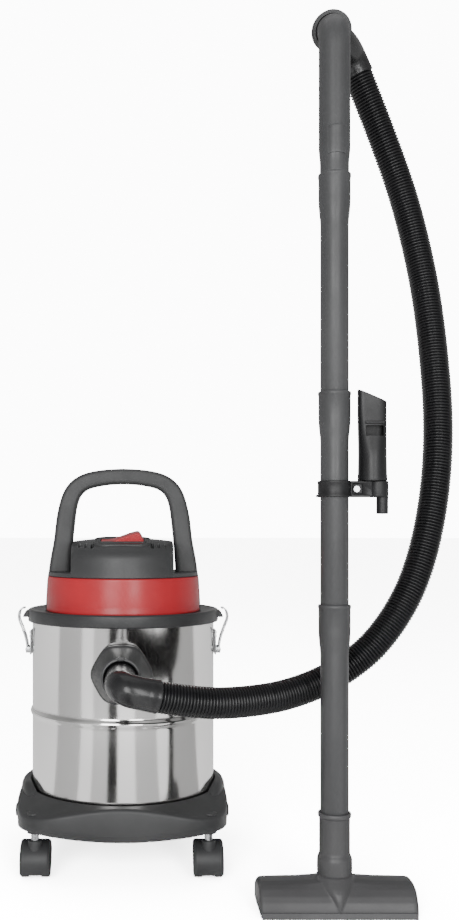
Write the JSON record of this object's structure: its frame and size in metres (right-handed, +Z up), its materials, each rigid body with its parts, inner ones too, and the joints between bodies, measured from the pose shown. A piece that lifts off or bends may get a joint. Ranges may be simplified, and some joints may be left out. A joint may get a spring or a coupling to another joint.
{
  "type": "wet and dry drum vacuum cleaner",
  "caption": "Wet and dry drum vacuum cleaner: steel drum on a castor trolley, lift-off motor head, ribbed hose, wand and floor nozzle.",
  "frame": {"origin": "middle of the footprint of the object without its hose, on the floor", "axes": "+Z up along the drum and the wand, -Y to the front where the inlet and the nozzle face, +X from the drum to the wand"},
  "size_m": [0.6169, 0.4112, 1.177],
  "materials": {
    "black_plastic": "fine satin grain",
    "grey_plastic": "fine satin grain",
    "red_plastic": "satin gloss",
    "stainless": "polished",
    "chrome": "polished",
    "rubber": "matte",
    "hose_plastic": "ribbed satin",
    "cuff_plastic": "gloss",
    "motor_metal": "cast",
    "filter_paper": "pleated paper"
  },
  "bodies": {
    "trolley": {"trolley_base": "black_plastic", "castor_stems": "chrome", "drum": "stainless", "inlet_gasket": "rubber", "inlet_flange": "black_plastic", "inlet_deflector": "black_plastic", "latch_bracket_left": "chrome", "latch_bracket_right": "chrome", "hose_inlet_elbow": "cuff_plastic", "suction_hose": "hose_plastic", "hose_grip_cuff": "cuff_plastic", "grip_collar": "grey_plastic", "bent_grip": "grey_plastic", "wand_tube_upper": "grey_plastic", "wand_tube_middle": "grey_plastic", "wand_tube_lower": "grey_plastic", "accessory_clip": "black_plastic", "clip_screw": "chrome", "nozzle_neck": "grey_plastic", "pivot_pins": "chrome"},
    "head": {"lid": "black_plastic", "lid_seal": "rubber", "red_band": "red_plastic", "dome": "black_plastic", "cable_gland": "rubber", "carry_handle": "grey_plastic", "switch_plate": "grey_plastic", "motor_chamber": "black_plastic", "motor_core": "motor_metal", "filter_cage": "black_plastic", "cartridge_filter": "filter_paper"},
    "rocker": {"rocker_switch": "red_plastic"},
    "fan": {"impeller": "black_plastic"},
    "float": {"float_valve": "grey_plastic"},
    "latch_left": {"latch_lever_left": "chrome", "latch_bail_left": "chrome"},
    "latch_right": {"latch_lever_right": "chrome", "latch_bail_right": "chrome"},
    "slider": {"air_slider": "grey_plastic"},
    "tool": {"crevice_tool": "black_plastic"},
    "nozzle": {"nozzle_body": "grey_plastic", "nozzle_sole": "grey_plastic", "nozzle_lips": "rubber"},
    "castor_front_left": {"castor_hood_front_left": "black_plastic", "castor_axle_front_left": "chrome"},
    "wheels_front_left": {"castor_wheels_front_left": "rubber"},
    "castor_front_right": {"castor_hood_front_right": "black_plastic", "castor_axle_front_right": "chrome"},
    "wheels_front_right": {"castor_wheels_front_right": "rubber"},
    "castor_back_left": {"castor_hood_back_left": "black_plastic", "castor_axle_back_left": "chrome"},
    "wheels_back_left": {"castor_wheels_back_left": "rubber"},
    "castor_back_right": {"castor_hood_back_right": "black_plastic", "castor_axle_back_right": "chrome"},
    "wheels_back_right": {"castor_wheels_back_right": "rubber"}
  },
  "joints": [
    {"name": "head_lift", "type": "slide", "parent": "trolley", "child": "head", "axis": [0, 0, 1], "range_m": [0, 0.12]},
    {"name": "rocker_tilt", "type": "hinge", "parent": "head", "child": "rocker", "pos_m": [-0.10775, -0.00445, 0.4625], "axis": [0, 0.9877, 0.1564], "range_deg": [0, 16]},
    {"name": "fan_spin", "type": "hinge", "parent": "head", "child": "fan", "pos_m": [-0.10775, 0.05555, 0.338], "axis": [0, 0, 1], "continuous": true},
    {"name": "float_rise", "type": "slide", "parent": "head", "child": "float", "axis": [0, 0, 1], "range_m": [0, 0.03]},
    {"name": "latch_left_swing", "type": "hinge", "parent": "trolley", "child": "latch_left", "pos_m": [-0.24925, 0.05555, 0.302], "axis": [0, -1, 0], "range_deg": [0, 125]},
    {"name": "latch_right_swing", "type": "hinge", "parent": "trolley", "child": "latch_right", "pos_m": [0.03375, 0.05555, 0.302], "axis": [0, 1, 0], "range_deg": [0, 125]},
    {"name": "castor_front_left_swivel", "type": "hinge", "parent": "trolley", "child": "castor_front_left", "pos_m": [-0.22675, -0.06045, 0.05], "axis": [0, 0, 1], "continuous": true},
    {"name": "wheels_front_left_roll", "type": "hinge", "parent": "castor_front_left", "child": "wheels_front_left", "pos_m": [-0.22675, -0.04845, 0.0235], "axis": [1, 0, 0], "continuous": true},
    {"name": "castor_front_right_swivel", "type": "hinge", "parent": "trolley", "child": "castor_front_right", "pos_m": [0.01125, -0.06045, 0.05], "axis": [0, 0, 1], "continuous": true},
    {"name": "wheels_front_right_roll", "type": "hinge", "parent": "castor_front_right", "child": "wheels_front_right", "pos_m": [0.01125, -0.04845, 0.0235], "axis": [1, 0, 0], "continuous": true},
    {"name": "castor_back_left_swivel", "type": "hinge", "parent": "trolley", "child": "castor_back_left", "pos_m": [-0.22675, 0.17155, 0.05], "axis": [0, 0, 1], "continuous": true},
    {"name": "wheels_back_left_roll", "type": "hinge", "parent": "castor_back_left", "child": "wheels_back_left", "pos_m": [-0.22675, 0.15955, 0.0235], "axis": [1, 0, 0], "continuous": true},
    {"name": "castor_back_right_swivel", "type": "hinge", "parent": "trolley", "child": "castor_back_right", "pos_m": [0.01125, 0.17155, 0.05], "axis": [0, 0, 1], "continuous": true},
    {"name": "wheels_back_right_roll", "type": "hinge", "parent": "castor_back_right", "child": "wheels_back_right", "pos_m": [0.01125, 0.15955, 0.0235], "axis": [1, 0, 0], "continuous": true},
    {"name": "air_slide", "type": "slide", "parent": "trolley", "child": "slider", "axis": [0, 0, 1], "range_m": [0, 0.011]},
    {"name": "tool_lift", "type": "slide", "parent": "trolley", "child": "tool", "axis": [0, 0, 1], "range_m": [0, 0.12]},
    {"name": "nozzle_tilt", "type": "hinge", "parent": "trolley", "child": "nozzle", "pos_m": [0.16325, -0.16645, 0.031], "axis": [1, 0, 0], "range_deg": [0, 40]}
  ],
  "couplings": [
    {"joint": "latch_left_swing", "follows": "head_lift", "rad_per_m": 18.18},
    {"joint": "latch_right_swing", "follows": "head_lift", "rad_per_m": 18.18}
  ]
}
